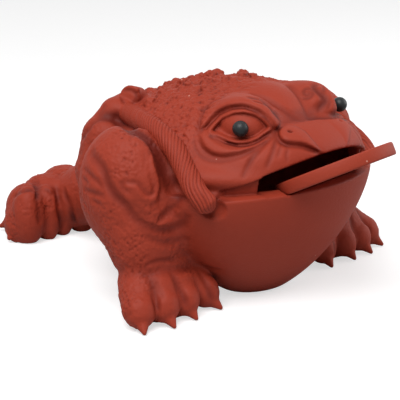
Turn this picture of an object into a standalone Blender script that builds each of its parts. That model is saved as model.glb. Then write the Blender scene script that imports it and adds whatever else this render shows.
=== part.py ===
"""Money frog: a hollow fired-clay toad on three legs, with a loose coin in its mouth and two bead eyes.

The frog faces -Y and its length runs along Y. Forms that exist on both sides are given for the +X side
and mirrored. All sizes are in millimetres times MM. The model is moved at the end so that the origin is
on the ground under the middle of its box.
"""
import math

import bmesh
import bpy
from mathutils import Euler, Matrix, Vector
from mathutils.bvhtree import BVHTree

MM = 0.001


def at(x, y, z):
    """A place given in millimetres."""
    return Vector((x, y, z)) * MM


# Main masses: a centre and three radii each
TORSO = at(0, 32, 42), at(51, 45, 40)
NECK = at(0, 10, 56), at(50, 42, 31.5)
THROAT = at(0, -1, 51), at(57, 42.5, 56.3)
THROAT_TOP = 1.6 * MM
THROAT_POWER = 1.56
LIP = at(0, 5, 57), at(54, 48.5, 12)
SNOUT = at(0, -12, 63), at(40, 31.5, 15)
FOREHEAD = at(0, -4, 70), at(18, 20, 17.5)
EYE_MOUND = at(19, -10, 75.5), at(12, 17, 11)
SHOULDER = at(58, 17, 50), at(18, 21, 26)
UPPER_ARM = at(56, 8, 31), at(17, 14, 20)
FRONT_FOOT = at(55, 1, 10), at(20, 12, 14)
FLANK_POINTS = [at(24, 51, 74.5), at(32, 50, 71), at(38, 50, 62), at(38, 50, 48), at(34, 46, 32)]
FLANK_RADII = [6 * MM, 8 * MM, 11 * MM, 14 * MM, 15 * MM]
REAR_LEG_POINTS = [at(4, 78, 26), at(0, 100, 21), at(-8, 116, 14)]
REAR_LEG_RADII = [22 * MM, 16 * MM, 12 * MM]

# Wall and mouth
WALL = 6.0 * MM
HOLLOW_DEPTH = 52.0 * MM
LIP_RECESS = 2.5 * MM
MOUTH_OPEN_HALF = 32.0 * MM
MOUTH_CORNER_HALF = 49.0 * MM
MOUTH_CORNER_CLOSED = 2.5 * MM
MOUTH_RECESS_HALF = MOUTH_CORNER_HALF - MOUTH_CORNER_CLOSED
MOUTH_FRONT_Y = -70.0 * MM
MOUTH_BACK_Y = -16.0 * MM
RECESS_BACK_Y = MOUTH_BACK_Y - 5.0 * MM
LOWER_LIP_HEIGHT = 50.0 * MM
LOWER_LIP_RISE = 2.7 * MM
UPPER_LIP_RISE = 15.0 * MM
UPPER_LIP_POWER = 2.0

# Coin
COIN_DIAMETER = 50.4 * MM
COIN_THICKNESS = 5.4 * MM
COIN_RIM_WIDTH = 3.4 * MM
COIN_RIM_HEIGHT = 0.7 * MM
COIN_EDGE_ROUND = 0.5 * MM
COIN_CENTRE = at(0.0, -42.9, 57.4)
COIN_TILT = math.radians(26.5)
COIN_LEAN = math.radians(-2.6)
COIN_CLEARANCE = 0.3 * MM

# Eyes and nostrils
BEAD_DIAMETER = 6.4 * MM
BEAD_CLEARANCE = 0.3 * MM
BEAD_CENTRE = at(31.6, -20.0, 76.0)
EYEBALL_CENTRE = at(23.5, -15, 74.5)
EYEBALL_RADII = at(8.5, 11, 7.5)
LID_RADIUS = 2.3 * MM
BROW_RADIUS = 3.0 * MM
BAG_RADIUS = 2.1 * MM
WING_RADIUS = 3.2 * MM
COIL_END = 0.35
COIL_STEPS = 24
UPPER_LID = [at(36, -5, 75), at(32.5, -8, 79.5), at(28, -16, 82.5), at(24, -24, 80), at(20, -28, 75.5)]
LOWER_LID = [at(34, -9, 74.5), at(33.5, -15, 72), at(31.5, -20.5, 71), at(27, -26, 72), at(22, -28.5, 74)]
BROW_FOLD = [
    at(37, -1, 76), at(31, 1, 81), at(26, -6, 84.5), at(22, -14, 85.5), at(18, -22, 83), at(13, -25, 78),
]
EYE_BAG = [at(39.5, -3, 73), at(42, -8, 67), at(39, -16.5, 64.5), at(35, -24, 66.5), at(27.5, -30.5, 69.5)]
NOSTRIL_WING = [at(19, -28, 75), at(19.5, -31, 72.5), at(15.5, -35, 71.5), at(10, -39, 70)]
NOSTRIL_CENTRE = at(15.0, -33.5, 75.0)
NOSTRIL_RADIUS = 2.0 * MM

# Ropes over the shoulders
ROPE_DIAMETER = 9.4 * MM
ROPE_STRANDS = 4
STRAND_SHARE = 0.29
ROPE_TWIST = 26.0 * MM
ROPE_STEPS = 70
ROPE_POINTS = [
    at(50.5, -23, 47), at(53, -17, 53.5), at(50.5, -8, 61), at(48.5, 1, 68.5), at(45, 13, 72.3),
    at(39, 28, 73), at(32, 43, 72.7), at(27, 50, 72),
]
KNOB = at(27, 48, 79), at(4.5, 4.4, 4.2)

# Shoulder folds and warts
FOLD_RADIUS = 2.8 * MM
SHOULDER_FOLDS = [
    [at(59, 3, 69), at(62.5, -1, 62), at(62.5, -3, 56), at(60, -4, 49)],
    [at(54, 4, 68), at(56, -1, 61), at(57, -4, 54), at(55, -6, 48)],
    [at(76, 16, 60), at(76, 14, 52), at(74, 8, 44), at(70, 2, 38)],
]
WART_COUNT = 34
WART_RADII = [2.3 * MM, 3.4 * MM, 2.6 * MM, 3.0 * MM, 3.7 * MM]
WART_TURN = math.radians(137.508)
WART_CENTRE_Y = 26.0 * MM
WART_FIELD = at(27, 30, 0)

# Feet: centre and radii of a lobe, then the points of each toe
REAR_LOBES = [
    (at(-3, 119, 19), at(12, 14, 12)),
    (at(-14, 120, 16.5), at(11, 14, 12)),
    (at(-26, 119, 14), at(10, 12, 12.5)),
    (at(-31, 113, 13), at(8, 8, 14)),
    (at(-21, 112, 12), at(6, 7.5, 14)),
    (at(-12, 112, 12), at(6, 7, 14)),
    (at(-1, 110, 13), at(8, 8, 15)),
    (at(12, 116, 13), at(9, 10, 14)),
]
REAR_TOES = [
    (at(-31, 118, 8), at(-39, 118.5, 1.5)),
    (at(-23, 127, 9), at(-29.5, 136.5, 1.5)),
    (at(-11, 132, 9), at(-13, 143, 1.5)),
    (at(2, 131, 9), at(4, 142, 1.5)),
    (at(13, 124, 9), at(19, 133, 1.5)),
]
REAR_TOE_RADII = at(8.5, 9.0, 10.5)
FRONT_TOES = [
    (at(64, 5, 14), at(73, -4.5, 7.5), at(77.5, -12, 0.2)),
    (at(60, 4, 15), at(63, -7.5, 8), at(64.5, -15.5, 0.2)),
    (at(53, 3, 15), at(52, -8, 8), at(52, -15.5, 0.2)),
    (at(45, 3, 14), at(39, -6.5, 7.5), at(36.5, -14.5, 0.2)),
]
TOE_ROOT_RADIUS = 8.5 * MM
TOE_RADIUS = 6.6 * MM
CLAW_RADIUS = 4.3 * MM
CLAW_POINT = 0.25
REAR_CLAW_ROOT = 0.45
FRONT_CLAW_ROOT = 0.3

# Mesh
MASS_VOXEL = 2.0 * MM
MASS_SMOOTHING = 8
FORM_VOXEL = 1.0 * MM
FORM_SMOOTHING = 2
HOLLOW_VOXEL = 2.5 * MM
HOLLOW_SMOOTHING = 3
BODY_TRIANGLES = 8600
HOLLOW_TRIANGLES = 600
MERGE = 0.01 * MM
HAIR = 0.05 * MM
GROUND_SIZE = at(400, 400, 40)

CLAY_COLOUR = (0.335, 0.040, 0.019, 1.0)
COIN_COLOUR = (0.345, 0.043, 0.020, 1.0)
BEAD_COLOUR = (0.02, 0.022, 0.024, 1.0)
CLAY_ROUGHNESS = 0.8
COIN_ROUGHNESS = 0.75
BEAD_ROUGHNESS = 0.3


def clear_scene():
    for thing in list(bpy.data.objects):
        bpy.data.objects.remove(thing, do_unlink=True)


def new_collection(name):
    collection = bpy.data.collections.new(name)
    bpy.context.scene.collection.children.link(collection)
    return collection


def clay_material(name, colour, roughness):
    material = bpy.data.materials.new(name)
    material.use_nodes = True
    shader = material.node_tree.nodes["Principled BSDF"]
    shader.inputs["Base Color"].default_value = colour
    shader.inputs["Roughness"].default_value = roughness
    shader.inputs["Metallic"].default_value = 0.0
    return material


def new_object(name, mesh, collection):
    thing = bpy.data.objects.new(name, mesh)
    collection.objects.link(thing)
    return thing


def evaluated_mesh(thing, name):
    """The mesh of an object with its modifiers, in world space."""
    bpy.context.view_layer.update()
    graph = bpy.context.evaluated_depsgraph_get()
    mesh = bpy.data.meshes.new_from_object(thing.evaluated_get(graph))
    mesh.transform(thing.matrix_world)
    mesh.name = name
    return mesh


def add_ball(form, centre, radii, top=None, power=2.0):
    """An ellipsoid. top gives the upper half another height, a power under 2 makes it more conical."""
    ball = bmesh.new()
    bmesh.ops.create_uvsphere(ball, u_segments=36, v_segments=20, radius=1.0)
    for vert in ball.verts:
        x, y, z = vert.co
        ring = math.hypot(x, y)
        slim = (1.0 - min(1.0, abs(z)) ** power) ** (1.0 / power) / ring if ring > 1e-4 else 1.0
        height = radii[2] if top is None or z < 0.0 else top
        vert.co = centre + Vector((x * slim * radii[0], y * slim * radii[1], z * height))
    add_made(form, ball)


def add_made(form, piece):
    """Moves a small mesh into the form."""
    mesh = bpy.data.meshes.new("piece")
    piece.to_mesh(mesh)
    piece.free()
    form.from_mesh(mesh)
    bpy.data.meshes.remove(mesh)


def add_limb(form, points, radii):
    """A chain of balls joined by cones."""
    for centre, radius in zip(points, radii):
        add_ball(form, centre, (radius, radius, radius))
    for start, end, start_radius, end_radius in zip(points, points[1:], radii, radii[1:]):
        along = end - start
        place = Matrix.Translation((start + end) / 2) @ along.to_track_quat("Z", "Y").to_matrix().to_4x4()
        cone = bmesh.new()
        bmesh.ops.create_cone(cone, cap_ends=True, segments=32, radius1=start_radius,
                              radius2=end_radius, depth=along.length, matrix=place)
        add_made(form, cone)


def add_tube(form, points, radii):
    """A round clay coil along a smooth curve, with a radius at each point."""
    curve = bpy.data.curves.new("coil", "CURVE")
    curve.dimensions = "3D"
    curve.bevel_depth = 1.0
    curve.bevel_resolution = 3
    curve.use_fill_caps = True
    spline = curve.splines.new("POLY")
    spline.points.add(len(points) - 1)
    for point, place, radius in zip(spline.points, points, radii):
        point.co = (*place, 1.0)
        point.radius = radius
    guide = new_object("coil", curve, bpy.context.scene.collection)
    mesh = evaluated_mesh(guide, "coil")
    form.from_mesh(mesh)
    bpy.data.objects.remove(guide, do_unlink=True)
    bpy.data.meshes.remove(mesh)


def smooth_path(points, count):
    """Points along a Catmull-Rom curve through the given ones."""
    ends = [2 * points[0] - points[1], *points, 2 * points[-1] - points[-2]]
    path = []
    for step in range(count):
        place = step / (count - 1) * (len(points) - 1)
        span = min(int(place), len(points) - 2)
        t = place - span
        a, b, c, d = ends[span:span + 4]
        path.append(0.5 * (2 * b + (c - a) * t + (2 * a - 5 * b + 4 * c - d) * t ** 2
                           + (3 * b - a - 3 * c + d) * t ** 3))
    return path


def central_masses(form):
    for centre, radii in (TORSO, NECK, LIP, SNOUT, FOREHEAD):
        add_ball(form, centre, radii)
    add_ball(form, *THROAT, top=THROAT_TOP, power=THROAT_POWER)


def side_masses(form):
    for centre, radii in (EYE_MOUND, SHOULDER, UPPER_ARM, FRONT_FOOT):
        add_ball(form, centre, radii)
    add_limb(form, FLANK_POINTS, FLANK_RADII)


def rear_leg(form):
    """The third leg, under the middle of the rump, its foot turned a little to the frog's right."""
    add_limb(form, REAR_LEG_POINTS, REAR_LEG_RADII)
    for centre, radii in REAR_LOBES:
        add_ball(form, centre, radii)


def rear_toes(form):
    for centre, tip in REAR_TOES:
        add_ball(form, centre, REAR_TOE_RADII)
        add_claw(form, centre.lerp(tip, REAR_CLAW_ROOT), tip)


def front_foot(form):
    for root, knuckle, tip in FRONT_TOES:
        add_limb(form, [root, knuckle], [TOE_ROOT_RADIUS, TOE_RADIUS])
        add_claw(form, knuckle.lerp(tip, FRONT_CLAW_ROOT), tip)


def add_claw(form, root, tip):
    """A cone with a rounded point, sunk into its toe."""
    point = CLAW_RADIUS * CLAW_POINT
    add_limb(form, [root, tip + Vector((0, 0, point))], [CLAW_RADIUS, point])


def add_rope(form):
    """Strands laid round each other along the rope's path."""
    path = smooth_path(ROPE_POINTS, ROPE_STEPS)
    strand = ROPE_DIAMETER * STRAND_SHARE
    reach = ROPE_DIAMETER / 2 - strand
    turns = sum((b - a).length for a, b in zip(path, path[1:])) / ROPE_TWIST
    last = ROPE_STEPS - 1
    for number in range(ROPE_STRANDS):
        points = []
        for step, place in enumerate(path):
            along = (path[min(step + 1, last)] - path[max(step - 1, 0)]).normalized()
            side = along.cross(Vector((0, 0, 1))).normalized()
            lift = side.cross(along)
            turn = 2 * math.pi * (number / ROPE_STRANDS + turns * step / last)
            points.append(place + (side * math.cos(turn) + lift * math.sin(turn)) * reach)
        add_tube(form, points, [strand] * ROPE_STEPS)


def add_line(form, points, radius):
    """A clay coil that thins out at both ends."""
    radii = []
    for step in range(COIL_STEPS):
        swell = math.sqrt(math.sin(math.pi * step / (COIL_STEPS - 1)) + HAIR)
        radii.append(radius * (COIL_END + (1 - COIL_END) * swell))
    add_tube(form, smooth_path(points, COIL_STEPS), radii)


def face(form):
    add_ball(form, EYEBALL_CENTRE, EYEBALL_RADII)
    add_line(form, UPPER_LID, LID_RADIUS)
    add_line(form, LOWER_LID, BAG_RADIUS)
    add_line(form, BROW_FOLD, BROW_RADIUS)
    add_line(form, EYE_BAG, BAG_RADIUS)
    add_line(form, NOSTRIL_WING, WING_RADIUS)


def shoulder_folds(form):
    for points in SHOULDER_FOLDS:
        add_line(form, points, FOLD_RADIUS)


def add_warts(form, skin):
    """Round warts in a spiral over the back, each seated on the skin under it."""
    sky = TORSO[0].z + 2 * TORSO[1].z
    for number in range(WART_COUNT):
        turn = number * WART_TURN
        reach = math.sqrt((number + 0.5) / WART_COUNT)
        x = WART_FIELD.x * reach * math.cos(turn)
        y = WART_CENTRE_Y + WART_FIELD.y * reach * math.sin(turn)
        seat = skin.ray_cast(Vector((x, y, sky)), Vector((0, 0, -1)))[0]
        radius = WART_RADII[number % len(WART_RADII)]
        add_ball(form, seat, (radius, radius, radius))


def joined_sides(build_side):
    """A mesh of one side's forms and their mirror image."""
    form = bmesh.new()
    build_side(form)
    sides = bpy.data.meshes.new("side")
    form.to_mesh(sides)
    form.free()
    holder = new_object("side", sides, bpy.context.scene.collection)
    mirror = holder.modifiers.new("mirror", "MIRROR")
    mirror.use_mirror_merge = False
    mirrored = evaluated_mesh(holder, "sides")
    bpy.data.objects.remove(holder, do_unlink=True)
    return mirrored


def remeshed(mesh, voxel, rounds):
    """The mesh as one skin, its creases filled by smoothing."""
    holder = new_object("holder", mesh, bpy.context.scene.collection)
    remesh = holder.modifiers.new("remesh", "REMESH")
    remesh.mode = "VOXEL"
    remesh.voxel_size = voxel
    smooth = holder.modifiers.new("smooth", "SMOOTH")
    smooth.factor = 0.5
    smooth.iterations = rounds
    result = evaluated_mesh(holder, mesh.name)
    bpy.data.objects.remove(holder, do_unlink=True)
    return result


def build_masses():
    form = bmesh.new()
    form.from_mesh(joined_sides(side_masses))
    central_masses(form)
    rear_leg(form)
    mesh = bpy.data.meshes.new("masses")
    form.to_mesh(mesh)
    form.free()
    return remeshed(mesh, MASS_VOXEL, MASS_SMOOTHING)


def side_details(form):
    front_foot(form)
    add_rope(form)
    add_ball(form, *KNOB)
    face(form)
    shoulder_folds(form)


def build_forms():
    masses = build_masses()
    form = bmesh.new()
    form.from_mesh(masses)
    skin = BVHTree.FromBMesh(form)
    form.from_mesh(joined_sides(side_details))
    rear_toes(form)
    add_warts(form, skin)
    mesh = bpy.data.meshes.new("forms")
    form.to_mesh(mesh)
    form.free()
    return remeshed(mesh, FORM_VOXEL, FORM_SMOOTHING)


def thinned(mesh, triangles):
    """The mesh with fewer faces, fewest where it is flat."""
    mesh.calc_loop_triangles()
    holder = new_object("holder", mesh, bpy.context.scene.collection)
    decimate = holder.modifiers.new("decimate", "DECIMATE")
    decimate.ratio = min(1.0, triangles / len(mesh.loop_triangles))
    decimate.use_collapse_triangulate = True
    result = evaluated_mesh(holder, "frog_body")
    bpy.data.objects.remove(holder, do_unlink=True)
    return result


def cutter(name, mesh, cutters):
    thing = new_object(name, mesh, cutters)
    thing.hide_render = True
    thing.display_type = "WIRE"
    return thing


def mesh_of(build):
    form = bmesh.new()
    build(form)
    mesh = bpy.data.meshes.new("made")
    form.to_mesh(mesh)
    form.free()
    return mesh


def cut(thing, tool):
    boolean = thing.modifiers.new(tool.name, "BOOLEAN")
    boolean.operation = "DIFFERENCE"
    boolean.solver = "EXACT"
    boolean.object = tool


def lower_lip(x):
    """Height of the lower lip, seen from the front."""
    return LOWER_LIP_HEIGHT + LOWER_LIP_RISE * (1 - (x / MOUTH_CORNER_HALF) ** 2)


def upper_lip(x):
    return LOWER_LIP_HEIGHT + UPPER_LIP_RISE * (1 - abs(x / MOUTH_CORNER_HALF) ** UPPER_LIP_POWER)


def mouth_prism(name, half, back, cutters):
    """The mouth's outline between two heights of lip, drawn from the front and run along Y."""
    count = 24
    across = [half * (2 * step / count - 1) for step in range(count + 1)]
    outline = [(x, lower_lip(x)) for x in across] + [(x, upper_lip(x) + HAIR) for x in reversed(across)]
    curve = bpy.data.curves.new(name, "CURVE")
    curve.dimensions = "2D"
    curve.fill_mode = "BOTH"
    curve.extrude = (back - MOUTH_FRONT_Y) / 2
    spline = curve.splines.new("POLY")
    spline.points.add(len(outline) - 1)
    for point, (x, z) in zip(spline.points, outline):
        point.co = (x, z, 0.0, 1.0)
    spline.use_cyclic_u = True
    flat = new_object(name, curve, cutters)
    flat.rotation_euler.x = math.radians(90)
    flat.location.y = (MOUTH_FRONT_Y + back) / 2
    mesh = evaluated_mesh(flat, name)
    bpy.data.objects.remove(flat, do_unlink=True)
    form = bmesh.new()
    form.from_mesh(mesh)
    bmesh.ops.remove_doubles(form, verts=form.verts, dist=MERGE)
    form.to_mesh(mesh)
    form.free()
    return cutter(name, mesh, cutters)


def hollow(form):
    """The space inside, a wall's thickness within the main masses."""
    wall = Vector((WALL, WALL, WALL))
    for centre, radii in (TORSO, NECK):
        add_ball(form, centre, radii - wall)
    centre, radii = THROAT
    inner = Vector((radii.x, radii.y, HOLLOW_DEPTH)) - wall
    add_ball(form, centre, inner, top=THROAT_TOP, power=THROAT_POWER)


def recess_floor(form):
    """What is left behind the closed ends of the mouth."""
    centre, radii = LIP
    add_ball(form, centre, Vector((radii.x - LIP_RECESS, radii.y - LIP_RECESS, NECK[1].z)))


def disc_place():
    """The coin's place: tilted up to the front and leaning a little to the frog's right."""
    return Matrix.Translation(COIN_CENTRE) @ Euler((-COIN_TILT, COIN_LEAN, 0.0)).to_matrix().to_4x4()


def build_coin(parts):
    """A disc with a raised rim on both faces, turned from its profile."""
    radius, half = COIN_DIAMETER / 2, COIN_THICKNESS / 2
    field = half - COIN_RIM_HEIGHT
    slope = COIN_RIM_HEIGHT / 2
    upper = [(0.0, field), (radius - COIN_RIM_WIDTH, field), (radius - COIN_RIM_WIDTH + slope, half),
             (radius - COIN_EDGE_ROUND, half), (radius, half - COIN_EDGE_ROUND)]
    profile = upper + [(x, -z) for x, z in reversed(upper)]
    form = bmesh.new()
    verts = [form.verts.new((x, 0.0, z)) for x, z in profile]
    for first, second in zip(verts, verts[1:]):
        form.edges.new((first, second))
    mesh = bpy.data.meshes.new("coin")
    form.to_mesh(mesh)
    form.free()
    coin = new_object("coin", mesh, parts)
    coin.matrix_world = disc_place()
    screw = coin.modifiers.new("turn", "SCREW")
    screw.steps = 64
    screw.render_steps = 64
    screw.use_merge_vertices = True
    screw.merge_threshold = MERGE
    coin.data.materials.append(clay_material("coin_clay", COIN_COLOUR, COIN_ROUGHNESS))
    return coin


def coin_bed(form):
    bmesh.ops.create_cone(form, cap_ends=True, segments=64, radius1=COIN_DIAMETER / 2 + COIN_CLEARANCE,
                          radius2=COIN_DIAMETER / 2 + COIN_CLEARANCE,
                          depth=COIN_THICKNESS + 2 * COIN_CLEARANCE, matrix=disc_place())


def build_bead(name, side, parts, material):
    mesh = mesh_of(lambda form: bmesh.ops.create_uvsphere(
        form, u_segments=28, v_segments=18, radius=BEAD_DIAMETER / 2))
    bead = new_object(name, mesh, parts)
    bead.location = (side * BEAD_CENTRE.x, BEAD_CENTRE.y, BEAD_CENTRE.z)
    bead.data.materials.append(material)
    return bead


def round_cutter(name, radius, centre, side, cutters):
    ball = cutter(name, mesh_of(lambda form: bmesh.ops.create_uvsphere(
        form, u_segments=20, v_segments=14, radius=radius)), cutters)
    ball.location = (side * centre.x, centre.y, centre.z)
    return ball


def build_body(parts, cutters):
    body = new_object("frog_body", thinned(build_forms(), BODY_TRIANGLES), parts)
    body.data.materials.append(clay_material("clay", CLAY_COLOUR, CLAY_ROUGHNESS))

    under = Matrix.Translation((0, TORSO[0].y, -GROUND_SIZE.z / 2)) @ Matrix.Diagonal((*GROUND_SIZE, 1))
    ground = mesh_of(lambda form: bmesh.ops.create_cube(form, size=1.0, matrix=under))
    cut(body, cutter("ground", ground, cutters))
    inside = thinned(remeshed(mesh_of(hollow), HOLLOW_VOXEL, HOLLOW_SMOOTHING), HOLLOW_TRIANGLES)
    cut(body, cutter("inside", inside, cutters))

    recess = mouth_prism("lip_recess", MOUTH_RECESS_HALF, RECESS_BACK_Y, cutters)
    cut(recess, cutter("recess_floor", mesh_of(recess_floor), cutters))
    cut(body, recess)
    cut(body, mouth_prism("mouth", MOUTH_OPEN_HALF, MOUTH_BACK_Y, cutters))
    cut(body, cutter("coin_bed", mesh_of(coin_bed), cutters))

    for side in (-1, 1):
        cut(body, round_cutter("socket", BEAD_DIAMETER / 2 + BEAD_CLEARANCE, BEAD_CENTRE, side, cutters))
        cut(body, round_cutter("nostril", NOSTRIL_RADIUS, NOSTRIL_CENTRE, side, cutters))
    return body


def centre_on_origin(pieces):
    """Moves everything along Y until the origin is under the middle of the whole."""
    bpy.context.view_layer.update()
    graph = bpy.context.evaluated_depsgraph_get()
    reach = []
    for piece in pieces:
        solid = piece.evaluated_get(graph)
        reach += [(solid.matrix_world @ Vector(corner)).y for corner in solid.bound_box]
    for thing in bpy.data.objects:
        thing.location.y -= (min(reach) + max(reach)) / 2


def main():
    clear_scene()
    parts = new_collection("money_frog")
    cutters = new_collection("cutters")
    pieces = [build_body(parts, cutters), build_coin(parts)]
    bead_material = clay_material("bead", BEAD_COLOUR, BEAD_ROUGHNESS)
    for name, side in (("eye_bead_right", -1), ("eye_bead_left", 1)):
        pieces.append(build_bead(name, side, parts, bead_material))
    centre_on_origin(pieces)


main()
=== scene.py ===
"""The look of the money frog: its clay skin sculpted as a distance field around the CAD frame.

The sculpt is worked out in millimetres in a study frame in which the frog looks along -Y, its right side
is -X and nearer the camera, and Y is shifted against the CAD frame. Lines on the near side are given as
pixels of the 400 x 400 photograph and thrown from the camera onto the clay. Most are mirrored to the
far side.
"""
import math

import bmesh
import bpy
import numpy as np
from mathutils import Matrix, Vector


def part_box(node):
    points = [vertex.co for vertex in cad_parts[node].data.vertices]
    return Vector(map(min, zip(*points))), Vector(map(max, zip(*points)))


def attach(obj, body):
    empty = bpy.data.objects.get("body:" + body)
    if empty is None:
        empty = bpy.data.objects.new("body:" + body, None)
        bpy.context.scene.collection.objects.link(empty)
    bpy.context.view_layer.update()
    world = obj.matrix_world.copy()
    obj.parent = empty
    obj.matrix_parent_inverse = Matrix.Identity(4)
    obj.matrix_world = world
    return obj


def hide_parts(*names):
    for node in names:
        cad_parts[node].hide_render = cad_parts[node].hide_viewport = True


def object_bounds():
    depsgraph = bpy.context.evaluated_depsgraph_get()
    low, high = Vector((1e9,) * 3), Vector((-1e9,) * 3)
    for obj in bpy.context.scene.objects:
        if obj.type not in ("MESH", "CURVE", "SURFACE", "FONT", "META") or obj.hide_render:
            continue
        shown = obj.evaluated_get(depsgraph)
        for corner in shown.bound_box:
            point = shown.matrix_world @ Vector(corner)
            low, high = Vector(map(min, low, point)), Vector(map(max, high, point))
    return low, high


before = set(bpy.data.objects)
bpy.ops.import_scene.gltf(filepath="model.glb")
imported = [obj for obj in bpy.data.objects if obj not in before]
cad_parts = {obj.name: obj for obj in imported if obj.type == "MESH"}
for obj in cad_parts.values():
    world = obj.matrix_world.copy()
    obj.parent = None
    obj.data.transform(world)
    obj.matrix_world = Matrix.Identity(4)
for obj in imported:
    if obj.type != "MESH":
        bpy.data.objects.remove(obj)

cad_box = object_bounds()
MM = 0.001

# Study frame: the right bead's centre there, and its centre in the CAD model
STUDY_BEAD = np.array((-31.6, -20.0, 76.0))
bead_low, bead_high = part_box("eye_bead_right")
SHIFT = (np.array(bead_low) + np.array(bead_high)) / 2 / MM - STUDY_BEAD

# Camera of the photograph, in the study frame
PHOTO = 400
FOCAL_PIXELS = 1356.0
SENSOR = 36.0
AZIMUTH = math.radians(-46.6)
ELEVATION = math.radians(16.0)
RIGHT = np.array((math.cos(AZIMUTH), math.sin(AZIMUTH), 0.0))
BACK = np.array((math.sin(AZIMUTH) * math.cos(ELEVATION), -math.cos(AZIMUTH) * math.cos(ELEVATION),
                 math.sin(ELEVATION)))
UP = np.cross(BACK, RIGHT)
LENS_AWAY = (-23.0, 35.0, 588.0)
LENS_PLACE = LENS_AWAY[0] * RIGHT + LENS_AWAY[1] * UP + LENS_AWAY[2] * BACK

# Field: its corners, its grid step, its value far from the clay; then the budgets of triangles
LOW = np.array((-85.0, -47.0, -4.0))
HIGH = np.array((85.0, 147.0, 96.0))
STEP = 0.5
FAR = 15.0
GROUND_TOP = 2
SKIN_TRIANGLES = 560000
PIECE_TRIANGLES = 196000

# Masses, the same as in the CAD model: centre and radii
TORSO = (0, 32, 42), (51, 45, 40)
NECK = (0, 10, 56), (50, 42, 31.5)
THROAT = (0, -1, 51), (57, 42.5, 56.3)
THROAT_TOP = 1.6
THROAT_POWER = 1.56
LIP = (0, 5, 57), (54, 48.5, 12)
SNOUT = (0, -12, 63), (40, 31.5, 15)
FOREHEAD = (0, -4, 70), (18, 20, 17.5)
EYE_MOUND = (19, -10, 75.5), (12, 17, 11)
SHOULDER = (58, 17, 50), (18, 21, 26)
UPPER_ARM = (56, 8, 31), (17, 14, 20)
FRONT_FOOT = (55, 1, 10), (20, 12, 14)
FLANK_POINTS = [(24, 51, 74.5), (32, 50, 71), (38, 50, 62), (38, 50, 48), (34, 46, 32)]
FLANK_RADII = [6, 8, 11, 14, 15]
REAR_LEG_POINTS = [(4, 78, 26), (0, 100, 21), (-8, 116, 14)]
REAR_LEG_RADII = [22, 16, 12]
REAR_LOBES = [
    ((-3, 119, 19), (12, 14, 12)), ((-14, 120, 16.5), (11, 14, 12)), ((-26, 119, 14), (10, 12, 12.5)),
    ((-31, 113, 13), (8, 8, 14)), ((-21, 112, 12), (6, 7.5, 14)), ((-12, 112, 12), (6, 7, 14)),
    ((-1, 110, 13), (8, 8, 15)), ((12, 116, 13), (9, 10, 14)),
]
REAR_TOES = [
    ((-31, 118, 8), (-39, 118.5, 1.5)), ((-23, 127, 9), (-29.5, 136.5, 1.5)),
    ((-11, 132, 9), (-13, 143, 1.5)), ((2, 131, 9), (4, 142, 1.5)), ((13, 124, 9), (19, 133, 1.5)),
]
REAR_TOE_RADII = (8.5, 9, 10.5)
FRONT_TOES = [
    ((64, 5, 14), (73, -4.5, 7.5), (77.5, -12, 0.2)), ((60, 4, 15), (63, -7.5, 8), (64.5, -15.5, 0.2)),
    ((53, 3, 15), (52, -8, 8), (52, -15.5, 0.2)), ((45, 3, 14), (39, -6.5, 7.5), (36.5, -14.5, 0.2)),
]
ROPE_POINTS = [
    (50.5, -23, 47), (53, -17, 53.5), (50.5, -8, 61), (48.5, 1, 68.5), (45, 13, 72.3),
    (39, 28, 73), (32, 43, 72.7), (27, 50, 72),
]

# Mouth, coin and beads, the same as in the CAD model
MOUTH_OPEN_HALF = 32.0
MOUTH_CORNER_HALF = 49.0
MOUTH_RECESS_HALF = 46.5
LOWER_LIP_HEIGHT = 50.0
LOWER_LIP_RISE = 2.7
UPPER_LIP_RISE = 15.0
UPPER_LIP_POWER = 2.0
LIP_RECESS = 2.5
RECESS_BACK_Y = -21.0
MOUTH_BACK_Y = -16.0
COIN_DIAMETER = 50.4
COIN_THICKNESS = 5.4
COIN_CENTRE = (0.0, -42.9, 57.4)
COIN_TILT = math.radians(26.5)
COIN_LEAN = math.radians(-2.6)
COIN_CLEARANCE = 0.3
BEAD_RADIUS = 3.2

# Forms of this model that differ from the CAD model
FRONT_TOE_RADII = [8.5, 6.8, 6.2]
FRONT_TOE_FLESH = 0.12
FRONT_CLAW_START = 0.4
FRONT_CLAW_RADII = [3.7, 1.0]
REAR_CLAW_START = 0.45
REAR_CLAW_RADII = [4.3, 1.0]
CLAW_LIFT = (0, 0, 1)
MOUTH_CAVITY = (0, -10, 53), (38, 28, 24)
MOUTH_CORNERS = (-52, -50, 44), (52, -5, 70)
COIN_CORNERS = (-30, -50, 40), (30, -10, 75)
LIP_STRETCH = 30
SCROLL_CENTRE = (25, 47, 78.3)
SCROLL_AXIS = (0.93, -0.25, 0.27)
SCROLL_RADIUS = 4.6
SCROLL_HALF = 4.6
SCROLL_ROUND = 1.0
SCROLL_REACH = 10
ROPE_RADIUS = 4.5
SLEEVE_RADII = [ROPE_RADIUS + 1.5, ROPE_RADIUS - 0.2]
POCKET_RADII = [5.2, ROPE_RADIUS - 1]
POCKET_AHEAD = 0.12
STRANDS = 15
STRAND_DEPTH = 0.8
STRAND_LEAN = (30, 54)
ROPE_RING = 120
ROPE_STEP = 0.55
ROPE_END_ROUND = 3.0
COIN_RIM_WIDTH = 3.6
COIN_RIM_HEIGHT = 0.7
COIN_STEPS = 160
EYE_HOLLOW = (31.5, -27.5, 79), (9, 8, 9)
EYEBALL = (22.3, -12, 74.7), (9.0, 11.7, 8.1)
EYE_DEPTH = 0.8
EYE_REACH = 19
EYE_OVERLAP = 0.6
EYE_CORNERS = (-46, -34, 60), (-8, 6, 92)
NOSTRIL_CORNERS = (-26, -48, 60), (-2, -24, 80)
BROW_DOME = 4.2, 1.6
BAG_DOME = 2.6, 1.1
NOSTRIL_DOME = 3.6, 2.0
NOSTRIL_RADII = (1.1, 1.1, 2.2)
LID_SINK = 0.7
LID_SOFTNESS = 0.8
LID_RIDGE = 1.6
LID_RIDGE_OUT = 1.1
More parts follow.
